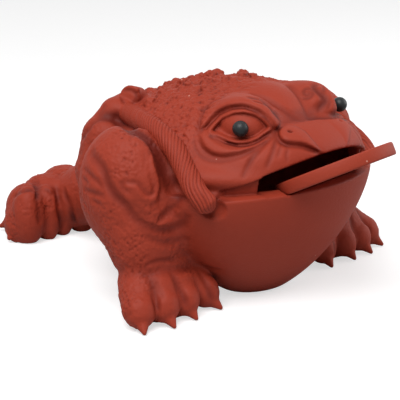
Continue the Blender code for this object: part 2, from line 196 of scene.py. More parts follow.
LID_RIDGE_HALF = 1.3

# Outlines of the photograph in pixels, and lines: width and depth in mm, then the pixels
EYE_OPENING = [
    (212.5, 131), (216.5, 126), (223, 119.5), (234, 114.5), (244, 113.5), (253.8, 116), (262, 121),
    (268, 127.5), (262, 131), (256, 135.5), (247, 138.5), (237, 139), (228, 137), (219, 133),
]
LID_OUTLINE = [
    (201.5, 129.5), (209, 123.2), (218, 113.6), (228, 108.2), (241, 106.5), (250.6, 108.5), (260, 113),
    (270.4, 123.5), (275, 130), (268, 136), (258, 142.5), (247, 146), (236, 147), (225, 144.5),
    (215, 138.5), (208, 133),
]
BROW_OUTLINE = [
    (198.5, 131), (201.5, 119), (206, 110), (213, 103), (224, 97.5), (235, 95), (249, 95), (256, 98.5),
    (264, 102), (271, 108), (277, 115), (281.5, 122), (280, 128),
] + LID_OUTLINE[8::-1]
BAG_OUTLINE = [
    (198, 134), (198.5, 141), (202.8, 149), (212, 155.6), (225, 157), (241, 154), (253.8, 149),
    (264, 143), (271, 136.5), (262, 140.5), (252, 145.5), (241, 147.5), (231, 146.5), (222, 143),
    (212, 136), (205, 132),
]
NOSTRIL_OUTLINE = [
    (277.5, 131), (279.5, 127), (284, 125), (291, 124.5), (298, 126.5), (305, 131), (312, 138), (318, 146),
    (323, 153), (314, 150), (305, 147), (296, 145.5), (287, 144.5), (281, 141), (278, 136),
]
NOSTRIL_PIXEL = (290, 130.5)
FACE_LINES = [
    (0.9, 1.3, [(200, 130), (209, 123.7), (218, 114), (228, 108.7), (241, 107), (250.6, 109), (260, 113.5),
                (270.4, 124), (276, 130)]),
    (0.7, 0.9, [(207, 132), (212, 137), (219, 142.5), (228, 146.3), (238, 148.5)]),
    (0.7, 1.1, [(214, 134), (223, 140), (231, 144), (241, 146), (252, 144), (262, 138.5), (272, 131)]),
    (1.0, 1.6, [(199, 136), (200.5, 144), (206, 151.5), (215, 156.5), (226, 157.5), (241, 154.3),
                (253.8, 149), (264, 143), (272, 136)]),
    (0.6, 0.7, [(193.5, 135), (194.5, 147), (200, 155.5), (209, 160.3), (221, 161.5), (236, 158.8),
                (249, 153.5)]),
    (0.7, 1.3, [(262, 147), (256, 154), (249, 164), (243, 176)]),
    (0.6, 0.6, [(257, 150), (252, 156), (248, 162)]),
    (0.7, 1.2, [(276, 139), (273, 151), (270, 159), (267, 166)]),
    (0.6, 0.7, [(281, 146), (279, 152), (277, 157)]),
    (0.6, 0.7, [(288, 148), (286.5, 155), (287, 161)]),
    (1.1, 4.2, [(250, 97), (258, 98.7), (264, 101.5), (270, 106.5), (275, 112.3), (280, 117)]),
    (1.0, 1.2, [(198, 133), (200.5, 119), (205.5, 109), (213, 102), (224, 97)]),
    (0.8, 0.9, [(274, 132), (279, 128), (284, 124)]),
]
SNOUT_LINES = [
    (0.9, 1.8, [(280, 126), (277, 131), (278, 138), (283, 143.5), (292, 145.3), (302, 146.3), (312, 149.8),
                (322, 153.8)]),
    (0.7, 1.2, [(290, 125), (298, 127), (305, 131), (312, 138.5), (318, 146), (321.5, 151.5)]),
    (1.3, 1.8, [(281, 122), (290, 119.5), (304, 118), (317, 117), (329, 116), (338, 115)]),
    (2.4, 1.2, [(286, 116), (300, 114), (316, 113)]),
    (1.0, 2.6, [(310, 118), (318, 117.6), (326, 117), (333, 116.4), (338, 115.5)]),
]
FAR_BROW_LINES = [
    (0.8, 2.2, [(323.5, 86), (324, 93), (322.5, 101), (319, 110), (316, 117)]),
    (0.7, 2.0, [(327.5, 96), (325.5, 104), (322, 114)]),
    (0.6, 1.8, [(330.5, 99), (329, 107), (326, 115)]),
    (1.0, 2.8, [(289, 86), (294.5, 91.5), (300, 98.5), (304, 105.5), (307.5, 112), (310.5, 118)]),
    (0.55, 2.0, [(300, 97.5), (304, 98.2), (309, 97.8), (312.3, 95), (312.6, 91), (310, 88.3),
                 (306, 88.2), (303.8, 91), (305, 94.3), (308, 94.8), (309.6, 92.5), (307.8, 91)]),
]
SHOULDER_LINES = [
    (1.1, 2.0, [(156, 147.5), (156.7, 160), (159.6, 170), (162, 178), (162.5, 187), (160.4, 195),
                (159.6, 200)]),
    (0.9, 1.4, [(150, 152.5), (148.8, 162), (149.6, 174), (152, 182), (154.6, 189), (153.3, 194),
                (150, 195.6), (146.3, 194), (142.5, 190), (139, 185), (135.8, 183), (128, 182.5),
                (122, 183)]),
    (0.8, 0.8, [(145, 153), (145.5, 163), (146, 172)]),
    (0.9, 1.0, [(121, 184), (124, 189), (129, 193)]),
    (1.2, 1.4, [(133, 204), (139, 211), (145, 216), (150, 219)]),
    (1.2, 1.5, [(178.3, 195), (176.7, 203), (170, 211), (162.5, 217.5), (160, 222)]),
    (1.8, 2.4, [(91, 153), (97.5, 162), (103, 170), (106.7, 182), (111.7, 192), (120, 201), (128, 208),
                (134, 216), (143, 223), (152.5, 227.5), (162, 230.5), (174, 230), (182.5, 225.5),
                (187, 218)]),
    (1.0, 1.3, [(84, 169.5), (87, 172), (91.7, 177.5), (97.5, 182), (101, 187)]),
    (0.9, 1.2, [(84.5, 189.5), (89, 191.7), (95, 194), (102, 196)]),
    (0.8, 1.0, [(82.5, 178.3), (85, 180), (87, 183)]),
    (0.8, 0.9, [(92, 201), (97, 203), (102, 205)]),
    (1.6, 1.0, [(146, 236), (158, 241), (172, 243), (186, 240)]),
]
SHOULDER_RIDGES = [
    (1.2, -0.9, [(153, 152), (152.5, 163), (154.5, 173), (157.5, 182), (158, 190), (155.5, 197),
                 (150, 199.5), (144, 198), (138.5, 192), (134.5, 187.5), (127, 187)]),
    (1.1, -0.8, [(147.3, 156), (147, 166), (148, 176), (150, 184), (150.5, 190)]),
    (1.3, -0.9, [(126, 199), (133, 208), (140, 215.5), (149, 222), (160, 225), (170, 222)]),
]
ROPE_GAPS = [
    (2.4, 5.5, [(108, 115.5), (120, 121), (131, 126), (141, 131.5), (150, 138), (157, 147), (162, 157),
                (166, 168)]),
    (1.5, 3.4, [(104, 114), (112, 117), (121, 121), (131, 125.5), (141, 131), (150, 137.5), (158, 147),
                (165, 160), (171, 174), (177, 188), (184, 199)]),
    (2.0, 2.8, [(152, 141), (158, 151), (162, 163), (166, 176), (171, 188), (177, 199)]),
]
HAUNCH_LINES = [
    (1.2, 1.6, [(103.5, 107), (99.5, 112), (99.6, 117), (104, 117.5)]),
    (1.3, 1.6, [(104, 116.5), (97, 119.5), (91, 124), (86, 131), (82, 139)]),
]
FOOT_LINES = [
    (1.2, 2.4, [(149, 276), (154, 290), (157, 309)]),
    (1.2, 2.4, [(172.5, 274), (180, 290), (186.5, 305)]),
    (1.1, 2.2, [(200, 271), (207.5, 286), (212, 299)]),
    (0.8, 1.2, [(156, 281), (163, 296)]),
    (1.6, 1.5, [(143, 275), (158, 271.5), (175, 270), (200, 267), (218, 270)]),
    (0.9, 0.9, [(147, 265), (160, 261), (175, 260)]),
]
REAR_LINES = [
    (1.3, 2.2, [(35, 182), (38, 200), (40, 222), (45, 243)]),
    (1.2, 1.8, [(56, 190), (59, 210), (60, 228), (62, 240)]),
    (1.2, 1.8, [(64, 190), (70, 208), (76, 224), (80, 236)]),
    (1.1, 1.4, [(14, 196), (22, 191), (34, 190)]),
    (1.0, 1.0, [(46, 189), (52, 193), (60, 192)]),
]
SCROLL_LINES = [
    (0.6, 2.0, [(119, 93), (124, 90.3), (130, 90), (135, 93), (136.5, 98), (133.5, 103.5), (128, 104),
                (123.5, 101.5), (121.5, 97.5)]),
    (0.9, 2.4, [(196, 204), (199.5, 210), (205, 213.5), (211, 213), (216, 207), (217, 201)]),
]
BACK_WARTS = [
    (2.3, (176.3, 78)), (1.1, (189.6, 75.5)), (2.7, (209, 77)), (2.6, (206.7, 83)), (1.1, (222, 72.5)),
    (2.0, (243, 77)), (2.3, (233, 82)), (1.4, (155, 88.5)), (1.2, (149, 93)), (1.3, (175.4, 98)),
]

# How lines, reliefs and warts go onto the clay: strengths, reaches and depths in mm
LINE_END = 0.25
LINE_FALL = 1.6
RELIEF_DEPTH = 6.0
FAR_RELIEF = 0.4
MARCH_NEAR = 440.0
MARCH_FAR = 780.0
MARCH_STEP = 0.5
RELAX_ROUNDS = 2
WARTS = 46
WART_MIDDLE = np.array((0, 38))
WART_SPREAD = 30
WART_TURN = 2.39996
WART_RADII = (1.2, 2.9)
WART_TOP = 87.8
WART_SEARCH = 95.0, 40.0, -0.5

# Skin: the starts and ends of soft borders, then sizes and heights of what is torn or grained, in mm
ROPE_BORDER = 0, 2
HAUNCH_BORDER = 0.5, 2.5
SCROLL_BORDER = 7, 9
BACK_START = -8, 3
BACK_LOW = 38, 50
BACK_FALL = 0.35
LIMB_BORDER = 38, 50
LIMB_START = -14, -4
REAR_START = 60, 75
LUMP_SIZE = 3.4
TEAR_SIZES = 1.7, 1.0
PIT_SIZE = 1.7
PIT_PATCH_SIZE = 6
GRAIN_SIZES = 1.0, 2.1
GRAIN_PATCH_SIZE = 9
LUMP_HEIGHT = 0.75
TEAR_DEPTH = 1.8
PIT_DEPTHS = 0.45, 0.35
BACK_LIFT = 0.4
GRAIN_HEIGHT = 0.55

# Painted shade in creases: how far out a groove is felt, the depths at which pits and lines are full, their
# weights
GROOVE_REACH = 1.6
PIT_DEPTH = 0.8
LINE_DEPTH = 1.6
CREVICE_SHADE_WEIGHTS = 0.8, 0.45, 0.95

# Colours and light
CLAY_COLOUR = (0.335, 0.040, 0.0185)
CLAY_DARK = (0.27, 0.031, 0.014)
COIN_COLOUR = (0.345, 0.043, 0.020)
COIN_DARK = (0.28, 0.034, 0.016)
# painted shade: the dark red that creases, pits and pressed lines are tinted towards
CREVICE_SHADE_COLOUR = (0.085, 0.006, 0.003)
SPECK_COLOUR = (0.55, 0.26, 0.20)
BEAD_COLOUR = (0.010, 0.012, 0.013)
WORLD_LIGHT = 0.22
FLOOR_SIZE = 3.0
FLOOR_GREY = 0.56
FLOOR_GLOW = 0.6
KEY_LIGHT = (-0.5, -0.25, 0.9), 11.2, 0.7
FILL_LIGHT = (0.75, -0.45, 0.35), 2.9, 0.6
LIGHT_AIM = (0, 0, 0.04)


def smooth_path(points, spacing=1.0):
    """Points along a Catmull-Rom curve through the given ones."""
    points = np.asarray(points, float)
    ends = np.vstack((2 * points[0] - points[1], points, 2 * points[-1] - points[-2]))
    path = []
    for a, b, c, d in zip(ends, ends[1:], ends[2:], ends[3:]):
        count = max(2, int(np.linalg.norm(c - b) / spacing))
        t = (np.arange(count) / count)[:, None]
        path.append(0.5 * (2 * b + (c - a) * t + (2 * a - 5 * b + 4 * c - d) * t ** 2
                           + (3 * b - a - 3 * c + d) * t ** 3))
    return np.vstack(path + [points[-1:]])


def mirrored(points):
    return np.asarray(points, float) * (-1, 1, 1)


class Clay:
    """A distance field in millimetres, negative inside the clay."""

    def __init__(self):
        self.shape = np.ceil((HIGH - LOW) / STEP).astype(int) + 1
        self.values = np.full(self.shape, FAR, np.float32)
        self.marks = np.zeros(self.shape, np.float32)

    def window(self, low, high):
        """The part of the field between two corners, with its coordinates."""
        first = np.clip(np.floor((np.asarray(low) - LOW) / STEP).astype(int), 0, self.shape - 2)
        last = np.clip(np.ceil((np.asarray(high) - LOW) / STEP).astype(int) + 1, first + 2, self.shape)
        axes = [(LOW[i] + STEP * np.arange(first[i], last[i])).astype(np.float32) for i in range(3)]
        place = tuple(slice(a, b) for a, b in zip(first, last))
        return place, (axes[0][:, None, None], axes[1][None, :, None], axes[2][None, None, :])

    def join(self, place, distance, blend):
        old = self.values[place]
        step = np.maximum(blend - np.abs(old - distance), 0) / blend
        self.values[place] = np.minimum(old, distance) - step * step * blend / 4

    def cut(self, place, distance, blend):
        old = self.values[place]
        step = np.maximum(blend - np.abs(old + distance), 0) / blend
        self.values[place] = np.maximum(old, -distance) + step * step * blend / 4

    def ball(self, centre, radii, blend=3.0, top=None, power=2.0, carve=False):
        centre, radii = np.asarray(centre, float), np.asarray(radii, float)
        reach = radii + blend + 4
        place, (x, y, z) = self.window(centre - reach, centre + reach)
        distance = ball_distance(x, y, z, centre, radii, top, power)
        (self.cut if carve else self.join)(place, distance, blend)

    def limb(self, points, radii, blend=2.0, carve=False):
        """A chain of round cones."""
        points = np.asarray(points, float)
        radii = np.broadcast_to(radii, len(points)).astype(float)
        reach = radii.max() + blend + 2
        place, axes = self.window(points.min(0) - reach, points.max(0) + reach)
        distance = chain_distance(axes, points, radii)
        (self.cut if carve else self.join)(place, distance, blend)

    def line(self, points, width, depth):
        """A groove pressed in along a line, or a ridge where the depth is negative."""
        points = np.asarray(points, float)
        reach = 3 * width
        place, axes = self.window(points.min(0) - reach, points.max(0) + reach)
        share = np.linspace(0, 1, len(points))
        strength = LINE_END + (1 - LINE_END) * np.sqrt(np.sin(np.pi * np.clip(share, 0.02, 0.98)))
        gap, force = nearest_on(axes, points, strength)
        dent = (depth * force * np.exp(-(gap / width) ** LINE_FALL)).astype(np.float32)
        self.values[place] += dent
        self.marks[place] += dent

    def relief(self, low, high, height):
        """Raises the skin between two corners by a height in mm: the near side, and the far side less."""
        for side in (1, -1):
            ends = np.sort([low[0] * side, high[0] * side])
            place, (x, y, z) = self.window((ends[0], *low[1:]), (ends[1], *high[1:]))
            values = self.values[place]
            across, down, scale = pixels_of(x * side, y, z)
            near = smooth_share(RELIEF_DEPTH - np.abs(values), 0, RELIEF_DEPTH / 2)
            share = 1 if side > 0 else FAR_RELIEF
            values -= (near * share * height(across, down, scale)).astype(np.float32)

    def at(self, points, marks=False):
        """The field at some points, between the grid's own, or how deep lines were pressed in there."""
        grid = self.marks if marks else self.values
        spot = (points - LOW) / STEP
        spot = np.clip(spot, 0, self.shape - 1.001)
        base = spot.astype(int)
        share = spot - base
        total = 0.0
        for corner in np.ndindex(2, 2, 2):
            weight = np.prod(np.where(corner, share, 1 - share), axis=-1)
            total = total + weight * grid[tuple((base + corner)[..., i] for i in range(3))]
        return total

    def cast(self, pixels):
        """Where the photograph's pixels meet the clay."""
        pixels = np.asarray(pixels, float)
        aim = ((pixels[:, :1] - PHOTO / 2) * RIGHT + (PHOTO / 2 - pixels[:, 1:]) * UP) / FOCAL_PIXELS - BACK
        reach = np.arange(MARCH_NEAR, MARCH_FAR, MARCH_STEP)
        along = LENS_PLACE + aim[:, None, :] * reach[None, :, None]
        outside = np.any((along < LOW) | (along > HIGH), axis=-1)
        found = np.where(outside, FAR, self.at(along))
        hit = np.argmax(found < 0, axis=1)
        rows = np.arange(len(pixels))
        ahead, behind = found[rows, hit - 1], found[rows, hit]
        share = ahead / np.maximum(ahead - behind, 1e-6)
        places = LENS_PLACE + aim * (reach[hit - 1] + share * MARCH_STEP)[:, None]
        return places[hit > 0]


def ball_distance(x, y, z, centre, radii, top=None, power=2.0):
    """About the distance to an ellipsoid; top caps it a height above its middle, power is its roundness."""
    px, py, pz = ((v - c) / r for v, c, r in zip((x, y, z), centre, radii))
    flat = px * px + py * py
    if power == 2.0:
        size = np.sqrt(flat + pz * pz)
        slope = np.sqrt((px / radii[0]) ** 2 + (py / radii[1]) ** 2 + (pz / radii[2]) ** 2)
        return size * (size - 1) / np.maximum(slope, 1e-4)
    ring = np.sqrt(flat)
    size = (ring ** power + np.abs(pz) ** power) ** (1 / power)
    spread = np.sqrt((px / radii[0]) ** 2 + (py / radii[1]) ** 2) / np.maximum(ring, 1e-4)
    slope = np.sqrt((spread * (ring / np.maximum(size, 1e-4)) ** (power - 1)) ** 2
                    + ((np.abs(pz) / np.maximum(size, 1e-4)) ** (power - 1) / radii[2]) ** 2)
    below = (size - 1) / np.maximum(slope, 1e-3)
    out = (ring - 1) / np.maximum(spread, 1e-4)
    over = z - centre[2] - top * np.sqrt(np.maximum(1 - flat, 0))
    above = np.hypot(np.maximum(out, 0), np.maximum(over, 0)) + np.minimum(np.maximum(out, over), 0)
    return np.where(z < centre[2], below, above)


def segment_gap(axes, start, end):
    """The distance to a straight piece, and how far along it the nearest point lies, from 0 to 1."""
    x, y, z = axes
    along = end - start
    share = (x - start[0]) * along[0] + (y - start[1]) * along[1] + (z - start[2]) * along[2]
    share = np.clip(share / max(along @ along, 1e-6), 0, 1)
    gap = np.sqrt((x - start[0] - share * along[0]) ** 2 + (y - start[1] - share * along[1]) ** 2
                  + (z - start[2] - share * along[2]) ** 2)
    return gap, share


def chain_distance(axes, points, radii):
    """The distance to a chain of round cones."""
    best = None
    for start, end, near, far in zip(points, points[1:], radii, radii[1:]):
        gap, share = segment_gap(axes, start, end)
        gap = gap - near - (far - near) * share
        best = gap if best is None else np.minimum(best, gap)
    return best


def nearest_on(axes, points, values):
    """The distance to a line, and the value at its nearest point."""
    best, worth = None, None
    for start, end, near, far in zip(points, points[1:], values, values[1:]):
        gap, share = segment_gap(axes, start, end)
        value = near + (far - near) * share
        if best is None:
            best, worth = gap, value
        else:
            worth = np.where(gap < best, value, worth)
            best = np.minimum(best, gap)
    return best, worth


def pixels_of(x, y, z):
    """Where places in the study frame are seen in the photograph, and how many mm a pixel is there."""
    dx, dy, dz = x - LENS_PLACE[0], y - LENS_PLACE[1], z - LENS_PLACE[2]
    depth = -(dx * BACK[0] + dy * BACK[1] + dz * BACK[2])
    across = FOCAL_PIXELS * (dx * RIGHT[0] + dy * RIGHT[1] + dz * RIGHT[2]) / depth
    up = FOCAL_PIXELS * (dx * UP[0] + dy * UP[1] + dz * UP[2]) / depth
    return PHOTO / 2 + across, PHOTO / 2 - up, depth / FOCAL_PIXELS


def outline_distance(across, down, outline):
    """The distance in a plane to a closed outline, negative inside."""
    best, inside = np.full(across.shape, 1e6), np.zeros(across.shape, bool)
    for (ax, ay), (bx, by) in zip(outline, np.roll(outline, -1, axis=0)):
        ex, ey = bx - ax, by - ay
        share = np.clip(((across - ax) * ex + (down - ay) * ey) / (ex * ex + ey * ey), 0, 1)
        best = np.minimum(best, np.hypot(across - ax - share * ex, down - ay - share * ey))
        crosses = (ay > down) != (by > down)
        inside ^= crosses & (across < ax + (down - ay) / (ey if ey else 1e-9) * ex)
    return np.where(inside, -best, best)


def dome(outline, across, down, scale, width, height):
    """A rounded swelling inside an outline of the photograph."""
    inside = np.clip(-outline_distance(across, down, outline) * scale / width, 0, 1)
    return height * np.sqrt(1 - (1 - inside) ** 2)


def lower_lip(x):
    return LOWER_LIP_HEIGHT + LOWER_LIP_RISE * (1 - (x / MOUTH_CORNER_HALF) ** 2)


def upper_lip(x):
    return LOWER_LIP_HEIGHT + UPPER_LIP_RISE * (1 - np.abs(x / MOUTH_CORNER_HALF) ** UPPER_LIP_POWER)


def sculpt_masses(clay):
    clay.ball(*TORSO, blend=8)
    clay.ball(*NECK, blend=10)
    clay.ball(*THROAT, blend=6, top=THROAT_TOP, power=THROAT_POWER)
    for centre, radii in (LIP, SNOUT, FOREHEAD):
        clay.ball(centre, radii, blend=5)
    clay.limb(REAR_LEG_POINTS, REAR_LEG_RADII, blend=8)
    for centre, radii in REAR_LOBES:
        clay.ball(centre, radii, blend=2)
    for side in (1, -1):
        flip = np.array((side, 1, 1))
        clay.ball(EYE_MOUND[0] * flip, EYE_MOUND[1], blend=3)
        clay.ball(EYE_HOLLOW[0] * flip, EYE_HOLLOW[1], blend=3, carve=True)
        clay.ball(SHOULDER[0] * flip, SHOULDER[1], blend=4)
        clay.ball(UPPER_ARM[0] * flip, UPPER_ARM[1], blend=6)
        clay.ball(FRONT_FOOT[0] * flip, FRONT_FOOT[1], blend=5)
        clay.limb(FLANK_POINTS * flip, FLANK_RADII, blend=6)


def sculpt_feet(clay):
    for side in (1, -1):
        flip = np.array((side, 1, 1))
        for root, knuckle, tip in FRONT_TOES * flip:
            flesh = knuckle + (tip - knuckle) * FRONT_TOE_FLESH
            clay.limb([root, knuckle, flesh], FRONT_TOE_RADII, blend=1.6)
            claw = knuckle + (tip - knuckle) * FRONT_CLAW_START
            clay.limb([claw, tip + CLAW_LIFT], FRONT_CLAW_RADII, blend=0.8)
    for centre, tip in np.array(REAR_TOES, float):
        clay.ball(centre, REAR_TOE_RADII, blend=1.6)
        claw = centre + (tip - centre) * REAR_CLAW_START
        clay.limb([claw, tip + CLAW_LIFT], REAR_CLAW_RADII, blend=1.2)


def sculpt_scrolls(clay):
    """The roll above each rope's upper end, and the pocket at its lower end, each with a line round it."""
    for side in (1, -1):
        flip = np.array((side, 1, 1))
        centre, axis = SCROLL_CENTRE * flip, SCROLL_AXIS * flip
        place, (x, y, z) = clay.window(centre - SCROLL_REACH, centre + SCROLL_REACH)
        dx, dy, dz = x - centre[0], y - centre[1], z - centre[2]
        along = dx * axis[0] + dy * axis[1] + dz * axis[2]
        ring = np.sqrt(np.maximum(dx * dx + dy * dy + dz * dz - along * along, 0))
        out = ring - SCROLL_RADIUS + SCROLL_ROUND
        end = np.abs(along) - SCROLL_HALF + SCROLL_ROUND
        roll = np.hypot(np.maximum(out, 0), np.maximum(end, 0)) + np.minimum(np.maximum(out, end), 0)
        clay.join(place, roll - SCROLL_ROUND, blend=0.8)
        sleeve = [ROPE_POINTS[-1] * flip, ROPE_POINTS[-2] * flip]
        clay.limb(sleeve, SLEEVE_RADII, blend=1.0)
        start, after = ROPE_POINTS[0] * flip, ROPE_POINTS[1] * flip
        pocket = [start - (after - start) * POCKET_AHEAD, after]
        clay.limb(pocket, POCKET_RADII, blend=0.6, carve=True)
    pressed(clay, SCROLL_LINES)


def sculpt_mouth(clay):
    """The slot between the lips, the recess beside it, the cavity behind it and the coin's bed."""
    place, (x, y, z) = clay.window(*MOUTH_CORNERS)
    gap = np.maximum(lower_lip(x) - z, z - upper_lip(x))
    slot = np.maximum(np.maximum(gap, np.abs(x) - MOUTH_OPEN_HALF), y - MOUTH_BACK_Y)
    clay.cut(place, slot, blend=1.4)
    inset = np.array(LIP[1], float) - (LIP_RECESS, LIP_RECESS, -LIP_STRETCH)
    wall = np.maximum(-ball_distance(x, y, z, LIP[0], inset), y - RECESS_BACK_Y)
    recess = np.maximum(np.maximum(gap, np.abs(x) - MOUTH_RECESS_HALF), wall)
    clay.cut(place, recess, blend=1.0)
    clay.ball(*MOUTH_CAVITY, blend=1, carve=True)
    tilt = coin_matrix()
    place, (x, y, z) = clay.window(*COIN_CORNERS)
    dx, dy, dz = x - COIN_CENTRE[0], y - COIN_CENTRE[1], z - COIN_CENTRE[2]
    u, v, w = (dx * tilt[0, i] + dy * tilt[1, i] + dz * tilt[2, i] for i in range(3))
    disc = np.maximum(np.hypot(u, v) - COIN_DIAMETER / 2 - COIN_CLEARANCE,
                      np.abs(w) - COIN_THICKNESS / 2 - COIN_CLEARANCE)
    clay.cut(place, disc, blend=0.4)


def coin_matrix():
    turn = Matrix.Rotation(COIN_LEAN, 3, "Y") @ Matrix.Rotation(-COIN_TILT, 3, "X")
    return np.array(turn)


def sculpt_face(clay):
    """The brow, the lids, the bag under the eye and the nostril's wing, raised inside their outlines."""
    opening, lid, brow, bag, nostril = (np.array(outline, float) for outline in (
        EYE_OPENING, LID_OUTLINE, BROW_OUTLINE, BAG_OUTLINE, NOSTRIL_OUTLINE))

    def height(across, down, scale):
        total = dome(brow, across, down, scale, *BROW_DOME) + dome(bag, across, down, scale, *BAG_DOME)
        within = -outline_distance(across, down, lid) * scale
        total -= LID_SINK * smooth_share(within, 0, LID_SOFTNESS)
        beyond = outline_distance(across, down, opening) * scale
        return total + LID_RIDGE * np.clip(1 - ((beyond - LID_RIDGE_OUT) / LID_RIDGE_HALF) ** 2, 0, 1)

    def wing(across, down, scale):
        return dome(nostril, across, down, scale, *NOSTRIL_DOME)

    clay.relief(*EYE_CORNERS, height)
    clay.relief(*NOSTRIL_CORNERS, wing)
    hole = clay.cast([NOSTRIL_PIXEL])[0]
    for side in (1, -1):
        clay.ball(hole * (side, 1, 1), NOSTRIL_RADII, blend=0.4, carve=True)


def sculpt_eyes(clay):
    """The eyeball, seen through an opening between the lids, with the bead's socket."""
    opening = np.array(EYE_OPENING, float)
    for side in (-1, 1):
        centre = STUDY_BEAD * (-side, 1, 1)
        place, (x, y, z) = clay.window(centre - EYE_REACH, centre + EYE_REACH)
        across, down, scale = pixels_of(-side * x, y, z)
        hole = outline_distance(across, down, opening) * scale
        clay.cut(place, np.maximum(hole, -clay.values[place] - EYE_DEPTH), blend=0.8)
        ball = ball_distance(x, y, z, EYEBALL[0] * np.array((side, 1, 1)), EYEBALL[1])
        clay.join(place, np.maximum(ball, hole - EYE_OVERLAP), blend=0.5)
        clay.ball(centre, (BEAD_RADIUS,) * 3, blend=0.2, carve=True)


def surface(clay):
    """Vertices and quads of the zero level: one vertex a cell, at the mean of its edges' crossings."""
    values = clay.values
    inside = values < 0
    count = np.zeros(clay.shape - 1, np.int8)
    for i, j, k in np.ndindex(2, 2, 2):
        count += inside[i:i + count.shape[0], j:j + count.shape[1], k:k + count.shape[2]]
    active = (count > 0) & (count < 8)
    cells = np.argwhere(active)
    total, hits = np.zeros((len(cells), 3)), np.zeros(len(cells))
    for axis in range(3):
        for i, j in np.ndindex(2, 2):
            start = np.insert((i, j), axis, 0)
            end = np.insert((i, j), axis, 1)
            near, far = cells + start, cells + end
            a, b = values[tuple(near.T)], values[tuple(far.T)]
            crossed = (a < 0) != (b < 0)
            share = np.where(crossed, a / np.where(crossed, a - b, 1), 0)[:, None]
            total += np.where(crossed[:, None], near + (far - near) * share, 0)
            hits += crossed
    verts = LOW + STEP * total / hits[:, None]
    index = np.full(count.shape, -1, np.int32)
    index[active] = np.arange(len(cells))
    quads = []
    for axis in range(3):
        first, second = [slice(1, -1)] * 3, [slice(1, -1)] * 3
        first[axis], second[axis] = slice(0, -1), slice(1, None)
        starts, ends = inside[tuple(first)], inside[tuple(second)]
        others = [i for i in range(3) if i != axis]
        spots = np.argwhere(starts != ends)
        spots[:, others] += 1
        leaving = starts[starts != ends]
        corners = []
        for i, j in ((0, 0), (1, 0), (1, 1), (0, 1)):
            cell = spots.copy()
            cell[:, others[0]] -= 1 - i
            cell[:, others[1]] -= 1 - j
            corners.append(index[tuple(cell.T)])
        quad = np.stack(corners, axis=1)
        turned = leaving if axis != 1 else ~leaving
        quads.append(np.where(turned[:, None], quad, quad[:, ::-1]))
    return verts, np.vstack(quads)


def relaxed(verts, quads, rounds):
    """The net with each vertex drawn towards its neighbours, so that the grid's steps go."""
    here, there = quads.T.ravel(), np.roll(quads.T, -1, axis=0).ravel()
    starts, ends = np.concatenate((here, there)), np.concatenate((there, here))
    count = np.maximum(np.bincount(starts, minlength=len(verts)), 1)
    for _ in range(rounds):
        mean = np.column_stack([np.bincount(starts, verts[ends, i], len(verts)) / count for i in range(3)])
        verts = (verts + mean) / 2
    return verts


def to_cad(points):
    return (np.asarray(points, float) + SHIFT) * MM


def mesh_of(name, verts, faces):
    """A mesh from places in metres and faces that all have the same number of corners."""
    mesh = bpy.data.meshes.new(name)
    mesh.vertices.add(len(verts))
    mesh.vertices.foreach_set("co", verts.astype(np.float32).ravel())
    mesh.loops.add(faces.size)
    mesh.loops.foreach_set("vertex_index", faces.astype(np.int32).ravel())
    mesh.polygons.add(len(faces))
    mesh.polygons.foreach_set("loop_start", np.arange(0, faces.size, faces.shape[1], dtype=np.int32))
    mesh.update(calc_edges=True)
    mesh.validate()
    mesh.shade_smooth()
    return mesh


def mesh_from(form, name):
    """A mesh with the shape of a bmesh, which is used up."""
    mesh = bpy.data.meshes.new(name)
    form.to_mesh(mesh)
    form.free()
    return mesh


def fetched(items, name, width, kind=np.float32):
    """One property of all of a mesh's items, a row an item."""
    values = np.empty(len(items) * width, kind)
    items.foreach_get(name, values)
    return values.reshape(-1, width)


def new_piece(name, mesh, slot, material, *nodes):
    """Adds a mesh as a piece of the look, in the place of the nodes named."""
    piece = bpy.data.objects.new(name, mesh)
    bpy.context.scene.collection.objects.link(piece)
    piece.data.materials.append(material)
    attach(piece, "root")
    if nodes:
        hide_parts(*nodes)


def value_noise(points, scale, seed):
    """Smooth noise from 0 to 1 with bumps of about the given size in mm."""
    size = 32
    table = np.random.default_rng(seed).random((size, size, size))
    spot = points / scale
    base = np.floor(spot).astype(int)
    share = spot - base
    share = share * share * (3 - 2 * share)
    total = 0.0
    for corner in np.ndindex(2, 2, 2):
        weight = np.prod(np.where(corner, share, 1 - share), axis=1)
        total = total + weight * table[tuple(((base + corner) % size).T)]
    return total


def cell_noise(points, scale, seed):
    """Distance to the nearest of scattered points, 0 at one of them, in units of the scale."""
    size = 16
    table = np.random.default_rng(seed).random((size, size, size, 3))
    spot = points / scale
    base = np.floor(spot).astype(int)
    best = np.full(len(points), 9.0)
    for corner in np.ndindex(3, 3, 3):
        cell = base + corner - 1
        gap = cell + table[tuple((cell % size).T)] - spot
        best = np.minimum(best, np.einsum("ij,ij->i", gap, gap))
    return np.sqrt(best)


def smooth_share(value, low, high):
    share = np.clip((value - low) / (high - low), 0, 1)
    return share * share * (3 - 2 * share)


def back_share(verts):
    """How rough the skin is: 1 on the back between the ropes, 0 on the face, haunches and throat."""
    x, y, z = verts.T
    route = np.array(ROPE_POINTS, float)
    border = np.interp(y, route[:, 1], route[:, 0])
    between = smooth_share(border - np.abs(x), *ROPE_BORDER)
    flank = np.array(FLANK_POINTS[:4], float), np.array(FLANK_RADII[:4], float)
    haunch = smooth_share(chain_distance((np.abs(x), y, z), *flank), *HAUNCH_BORDER)
    scroll_gap = np.linalg.norm(np.column_stack((np.abs(x), y, z)) - SCROLL_CENTRE, axis=1)
    scroll = smooth_share(scroll_gap, *SCROLL_BORDER)
    upper = smooth_share(z - BACK_FALL * np.abs(x), *BACK_LOW)
    return smooth_share(y, *BACK_START) * upper * between * haunch * scroll


def limb_share(verts):
    """1 on the shoulders and front legs, 0 elsewhere."""
    x, y, z = verts.T
    return smooth_share(np.abs(x), *LIMB_BORDER) * smooth_share(y, *LIMB_START)


